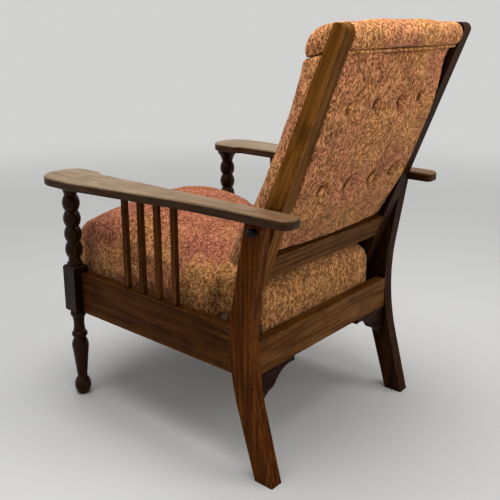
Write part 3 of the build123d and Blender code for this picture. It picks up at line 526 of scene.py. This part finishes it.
def inflate(obj, freedom, pressure, reach):
    """Blows the cover up as cloth, each point as far as its freedom from 0 to 1 lets it."""
    rest = points_of(obj)
    held = obj.vertex_groups.new(name="held")
    for index in np.flatnonzero(freedom < 0.999):
        held.add([int(index)], float(1 - freedom[index]), "REPLACE")
    cloth = obj.modifiers.new("cloth", "CLOTH")
    settings = cloth.settings
    settings.quality = 4
    settings.mass = 0.25
    settings.tension_stiffness = 14.0
    settings.compression_stiffness = 14.0
    settings.shear_stiffness = 8.0
    settings.bending_stiffness = 0.6
    settings.use_pressure = True
    settings.uniform_pressure_force = pressure
    settings.vertex_group_mass = "held"
    settings.pin_stiffness = 4.0
    settings.effector_weights.gravity = 0.0
    cloth.collision_settings.use_collision = False
    cloth.point_cache.frame_start = 1
    cloth.point_cache.frame_end = CLOTH_FRAMES
    for step in range(CLOTH_FRAMES):
        scene.frame_set(step + 1)
    depsgraph = bpy.context.evaluated_depsgraph_get()
    blown = bpy.data.meshes.new_from_object(obj.evaluated_get(depsgraph))
    move = (numbers_of(blown.vertices, "co") - rest) * freedom[:, None]
    bpy.data.meshes.remove(blown)
    obj.modifiers.clear()
    scene.frame_set(1)
    length = np.linalg.norm(move, axis=1)
    set_points(obj, rest + move * np.minimum(1, reach / np.maximum(length, 1e-9))[:, None])


def ripple(obj, freedom, amount, scale, seed):
    """Moves the cover in and out a little, by soft noise."""
    points = points_of(obj)
    normals = numbers_of(obj.data.vertices, "normal")
    offset = Vector((seed, seed * 2, seed * 3))
    push = np.array([noise.noise(Vector(point) * scale + offset) for point in points])
    set_points(obj, points + normals * (push * amount * freedom)[:, None])


def crease(obj, start, end, width, depth):
    """Presses a soft crease into the cover along a line that fades towards its end."""
    points = points_of(obj)
    normals = numbers_of(obj.data.vertices, "normal")
    start, end = np.array(start), np.array(end)
    line = end - start
    share = np.clip((points - start) @ line / (line @ line), 0, 1)
    distance = np.linalg.norm(points - start - share[:, None] * line, axis=1)
    push = depth * (1 - 0.75 * share) * np.exp(-((distance / width) ** 2))
    set_points(obj, points - normals * push[:, None])


def finish_cover(obj, body, node, material):
    smooth = obj.modifiers.new("smooth", "SUBSURF")
    smooth.levels = 1
    settle(obj)
    dress(obj, material)
    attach(obj, body)
    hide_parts(node)


def loose_parts(obj):
    """The middle of each separate piece of a mesh."""
    bm = bmesh.new()
    bm.from_mesh(obj.data)
    bmesh.ops.remove_doubles(bm, verts=bm.verts, dist=WELD)
    left = set(bm.verts)
    middles = []
    while left:
        stack = [left.pop()]
        group = []
        while stack:
            vert = stack.pop()
            group.append(np.array(vert.co))
            for edge in vert.link_edges:
                other = edge.other_vert(vert)
                if other in left:
                    left.remove(other)
                    stack.append(other)
        middles.append(Vector((np.min(group, axis=0) + np.max(group, axis=0)) / 2))
    bm.free()
    return middles


# Where the stiles hold the upholstery of the back: their inner faces, and the way that their
# fronts run behind the pivot line, by the height up the back
STILE_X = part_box("back_stile_left")[0][0]
STILE_HEIGHTS = [-0.273, 0.0, 0.4223]
STILE_FRONTS = [-0.021, -0.020, -0.005]
STILE_MARGIN = 0.006


def by_stiles(x, v, u):
    """Where a cover lies between or against the stiles."""
    front = np.interp(u, STILE_HEIGHTS, STILE_FRONTS)
    return (v > front - STILE_MARGIN) & (np.abs(x) > STILE_X - STILE_MARGIN)


# The back's buttons, in its front and in its rear face
button_middles = sorted(
    loose_parts(nodes["back_buttons"]), key=lambda p: (round(p.y, 3), round(p.x, 3))
)
REAR_BUTTONS_FROM = -0.02
rear_buttons = [
    middle for middle in button_middles if (middle - PIVOT).dot(REAR) > REAR_BUTTONS_FROM
]
front_buttons = [middle for middle in button_middles if middle not in rear_buttons]

# Back cover. Creases run up and down from the rear buttons, longest from the lower row, and
# aslant from the front ones.
LOW_ROW_UNDER = 0.16
LOW_FOLD, HIGH_FOLD, DOWN_FOLD = (0.070, 0.0085), (0.035, 0.0050), (0.034, 0.0055)
REAR_FOLD_WIDTH, REAR_FOLD_LEAN = 0.006, 0.012
FRONT_FOLD_WIDTH, FRONT_FOLD_DEPTH = 0.007, 0.0045
back = cover_of("back_cushion", "back_cover", 0.005)
points = points_of(back)
framed = by_stiles(*back_places(points))
button_distances = [np.linalg.norm(points - np.array(middle), axis=1) for middle in button_middles]
foot_of_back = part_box("back_cushion")[0][2]
free = np.where(framed, 0.0, 1.0) * rise(np.min(button_distances, axis=0), 0.010, 0.034)
free *= rise(points[:, 2], foot_of_back + 0.004, foot_of_back + 0.030)
relax(back, np.where(framed, 0.15, 0.8), rounds=4)
inflate(back, free, pressure=3.0, reach=0.009)
ripple(back, free, amount=0.0016, scale=24.0, seed=3.0)
for index, middle in enumerate(rear_buttons):
    length, depth = LOW_FOLD if (middle - PIVOT).dot(UP) < LOW_ROW_UNDER else HIGH_FOLD
    aside = Vector((REAR_FOLD_LEAN * math.sin(index * 2.1), 0, 0))
    crease(back, middle, middle + UP * length + aside, REAR_FOLD_WIDTH, depth)
    length, depth = DOWN_FOLD
    crease(back, middle, middle - UP * length - aside, REAR_FOLD_WIDTH, depth)
for middle in front_buttons:
    for side in (-1, 1):
        aim = UP * 0.045 + Vector((side * 0.030, 0, 0))
        crease(back, middle, middle + aim, FRONT_FOLD_WIDTH, FRONT_FOLD_DEPTH)
        crease(back, middle, middle - aim, FRONT_FOLD_WIDTH, FRONT_FOLD_DEPTH)
finish_cover(back, "back", "back_cushion", back_cloth)

# Head roll. Its seam runs along the welt behind and lower in front, and each end has folds:
# where they start and end across, behind and up the back, how wide they are and how deep.
welt_low, welt_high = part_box("roll_welt")
SEAM_U = float((Vector(welt_low) + Vector(welt_high) - 2 * PIVOT).dot(UP) / 2)
SEAM_DROP = 0.041
END_X = 0.243
END_FOLDS = [
    ((END_X, -0.030, 0.352), (END_X, -0.012, 0.385), 0.006, 0.006),
    ((END_X, -0.050, 0.404), (END_X - 0.02, -0.020, 0.415), 0.004, 0.004),
]
roll = cover_of("back_top_roll", "head_roll", 0.004)
x, v, u = back_places(points_of(roll))
framed = by_stiles(x, v, u)
seam = np.interp(v, [-0.055, 0.013], [SEAM_U - SEAM_DROP, SEAM_U])
free = np.where(framed, 0.0, 1.0) * rise(u - seam, 0.002, 0.016)
relax(roll, np.where(framed, 0.2, 0.8), rounds=4)
inflate(roll, free, pressure=2.5, reach=0.005)
ripple(roll, free, amount=0.0012, scale=17.0, seed=7.0)
for side, strength in ((1, 1.0), (-1, 0.7)):
    for start, end, width, depth in END_FOLDS:
        start, end = [back_point(x * side, v, u) for x, v, u in (start, end)]
        crease(roll, start, end, width, depth * strength)
finish_cover(roll, "back", "back_top_roll", back_cloth)

# Seat cover. Its rear corners are held beside the stiles, and raised to show above the rails.
CORNER_X, CORNER_Y, CORNER_HOLD = 0.200, 0.070, 0.8
RAISED_X, RAISED_Y, RAISED_Z, RAISED_BY = (0.12, 0.19), (0.14, 0.20), (0.34, 0.38), 0.009
seat = cover_of("seat_cushion", "seat_cover", 0.006)
points = points_of(seat)
foot_of_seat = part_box("seat_cushion")[0][2]
free = rise(points[:, 2], foot_of_seat + 0.010, foot_of_seat + 0.040)
free *= 1 - CORNER_HOLD * ((np.abs(points[:, 0]) > CORNER_X) & (points[:, 1] > CORNER_Y))
relax(seat, rise(points[:, 2], foot_of_seat + 0.004, foot_of_seat + 0.020), rounds=5)
inflate(seat, free, pressure=3.0, reach=0.010)
points = points_of(seat)
raised = rise(np.abs(points[:, 0]), *RAISED_X) * rise(points[:, 1], *RAISED_Y)
points[:, 2] += RAISED_BY * (raised * rise(points[:, 2], *RAISED_Z))
set_points(seat, points)
ripple(seat, free, amount=0.0034, scale=12.0, seed=11.0)
ripple(seat, free, amount=0.0011, scale=42.0, seed=5.0)
finish_cover(seat, "seat", "seat_cushion", seat_cloth)


def ring(bm, middle, side, over, radii):
    """A ring of points about a middle, one for each radius."""
    angles = [2 * math.pi * step / len(radii) for step in range(len(radii))]
    return [
        bm.verts.new(middle + (side * math.cos(angle) + over * math.sin(angle)) * radius)
        for angle, radius in zip(angles, radii)
    ]


def skin(bm, rings):
    """Faces between rings, and a lid on each end."""
    for one, two in zip(rings, rings[1:]):
        for step in range(len(one)):
            after = (step + 1) % len(one)
            bm.faces.new((one[step], one[after], two[after], two[step]))
    bm.faces.new(reversed(rings[0]))
    bm.faces.new(rings[-1])


def trim(bm, name, node, material):
    """Makes a covered trim piece of the back from a mesh."""
    bmesh.ops.recalc_face_normals(bm, faces=bm.faces)
    mesh = bpy.data.meshes.new(name)
    bm.to_mesh(mesh)
    bm.free()
    obj = bpy.data.objects.new(name, mesh)
    scene.collection.objects.link(obj)
    dress(obj, material)
    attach(obj, "back")
    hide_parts(node)


# The welt under the head roll: a cord covered with the cloth, a little uneven
WELT_STEPS, WELT_SIDES, WELT_RADIUS, WELT_STAND = 120, 12, 0.0034, 0.0012
WELT_SWAY, WELT_DIP, WELT_SWELL = 0.0005, 0.0008, 0.10
welt_x, welt_v, _ = back_places(points_of(nodes["roll_welt"]))
middle_v = float(np.mean(welt_v[np.abs(welt_x) < 0.02]))
end_v = float(np.mean(welt_v[np.abs(welt_x) > welt_high[0] - 0.004]))
bm = bmesh.new()
rings = []
for step in range(WELT_STEPS + 1):
    place = 2 * step / WELT_STEPS - 1
    x = place * welt_high[0]
    v = WELT_STAND + middle_v + (end_v - middle_v) * place**2
    v += WELT_SWAY * noise.noise(Vector((x * 30, 0, 5)))
    middle = back_point(x, v, SEAM_U + WELT_DIP * noise.noise(Vector((x * 22, 3, 1))))
    radius = WELT_RADIUS * (1 + WELT_SWELL * noise.noise(middle * 70))
    rings.append(ring(bm, middle, REAR, UP, [radius] * WELT_SIDES))
skin(bm, rings)
trim(bm, "welt", "roll_welt", lit_cloth)

# Cloth-covered buttons, domed, each with a gathered edge
BUTTON_SIDES, GATHERS, GATHER_DEPTH = 32, 11, 0.025
BUTTON_DOME = [
    (0.0088, -0.0030),
    (0.0094, -0.0006),
    (0.0089, 0.0022),
    (0.0071, 0.0043),
    (0.0040, 0.0054),
    (0.0008, 0.0058),
]
bm = bmesh.new()
for index, middle in enumerate(button_middles):
    facing = REAR if middle in rear_buttons else -REAR
    side = Vector((1, 0, 0))
    rings = []
    for radius, height in BUTTON_DOME:
        gather = GATHER_DEPTH if height < 0 else 0.0
        radii = [
            radius * (1 + gather * math.cos(2 * math.pi * step / BUTTON_SIDES * GATHERS + index))
            for step in range(BUTTON_SIDES)
        ]
        rings.append(ring(bm, middle + facing * height, side, facing.cross(side), radii))
    skin(bm, rings)
trim(bm, "tufting_buttons", "back_buttons", lit_cloth)

# Floor: plain near the chair, and further out the colour of the backdrop
BACKDROP = (0.640, 0.640, 0.632)
FLOOR_COLOUR = (0.54, 0.54, 0.532)
FLOOR_REACH = 40.0
FLOOR_FADE = (1.1, 4.5)
floor_mesh = bpy.data.meshes.new("floor")
corners = [(-1, -1), (1, -1), (1, 1), (-1, 1)]
floor_mesh.from_pydata(
    [(FLOOR_REACH * x, FLOOR_REACH * y, 0) for x, y in corners], [], [(0, 1, 2, 3)]
)
floor = bpy.data.objects.new("floor", floor_mesh)
scene.collection.objects.link(floor)
pale = Shader("pale_floor")
pale.set(Base_Color=FLOOR_COLOUR, Roughness=0.75, Specular_IOR_Level=0.2)
distance = pale.node("ShaderNodeVectorMath", operation="LENGTH")
pale.feed(distance.inputs[0], pale.plain)
far = pale.span(distance.outputs["Value"], FLOOR_FADE, "SMOOTHSTEP")
glow = pale.node("ShaderNodeEmission")
pale.feed(glow.inputs["Color"], BACKDROP)
share = pale.maths("MULTIPLY", pale.in_view(), far)
pale.feed(pale.out.inputs[0], pale.blend(share, pale.bsdf.outputs[0], glow.outputs[0]))
dress(floor, pale.material)

# World: soft light, and a plain backdrop for the camera and for reflections
DAYLIGHT, DAYLIGHT_STRENGTH = (0.97, 0.98, 1.0), 0.36
world = bpy.data.worlds.new("studio")
scene.world = world
world.use_nodes = True
studio = NodeTree(world.node_tree)
backgrounds = []
for colour, strength in ((DAYLIGHT, DAYLIGHT_STRENGTH), (BACKDROP, 1.0)):
    background = studio.node("ShaderNodeBackground")
    studio.fill(background, {"Color": colour, "Strength": strength})
    backgrounds.append(background.outputs[0])
world_out = studio.node("ShaderNodeOutputWorld")
studio.feed(world_out.inputs[0], studio.blend(studio.in_view(), *backgrounds))

# Square soft lamps that face the chair: name, place, size, power and colour
LAMPS_AIM = Vector((0, 0, 0.45))
LAMPS = [
    ("over", (0.3, 0.2, 3.4), 2.6, 112, (1.0, 0.99, 0.97)),
    ("key", (-1.2, 3.0, 2.3), 2.2, 40, (1.0, 0.98, 0.95)),
    ("side", (3.2, -0.6, 2.2), 2.0, 12, (0.97, 0.98, 1.0)),
]
for name, place, size, power, colour in LAMPS:
    light = bpy.data.lights.new(name, "AREA")
    light.shape = "SQUARE"
    light.size = size
    light.energy = power
    light.color = colour
    lamp = bpy.data.objects.new(name, light)
    scene.collection.objects.link(lamp)
    lamp.location = place
    lamp.rotation_euler = (LAMPS_AIM - Vector(place)).to_track_quat("-Z", "Y").to_euler()

# Camera, at the photograph's view
CAMERA_PLACE = (1.3258, 1.12023, 0.9617)
YAW, PITCH = math.radians(49.5), math.radians(15.5)
LENS, SENSOR, LENS_SHIFT = 51.91, 36.0, -0.06
ahead = Vector(
    (-math.sin(YAW) * math.cos(PITCH), -math.cos(YAW) * math.cos(PITCH), -math.sin(PITCH))
)
camera_data = bpy.data.cameras.new("camera")
camera_data.sensor_width = SENSOR
camera_data.lens = LENS
camera_data.shift_y = LENS_SHIFT
camera_data.clip_end = 100.0
camera = bpy.data.objects.new("camera", camera_data)
scene.collection.objects.link(camera)
camera.location = CAMERA_PLACE
camera.rotation_euler = ahead.to_track_quat("-Z", "Y").to_euler()
scene.camera = camera
scene.view_settings.view_transform = "Standard"
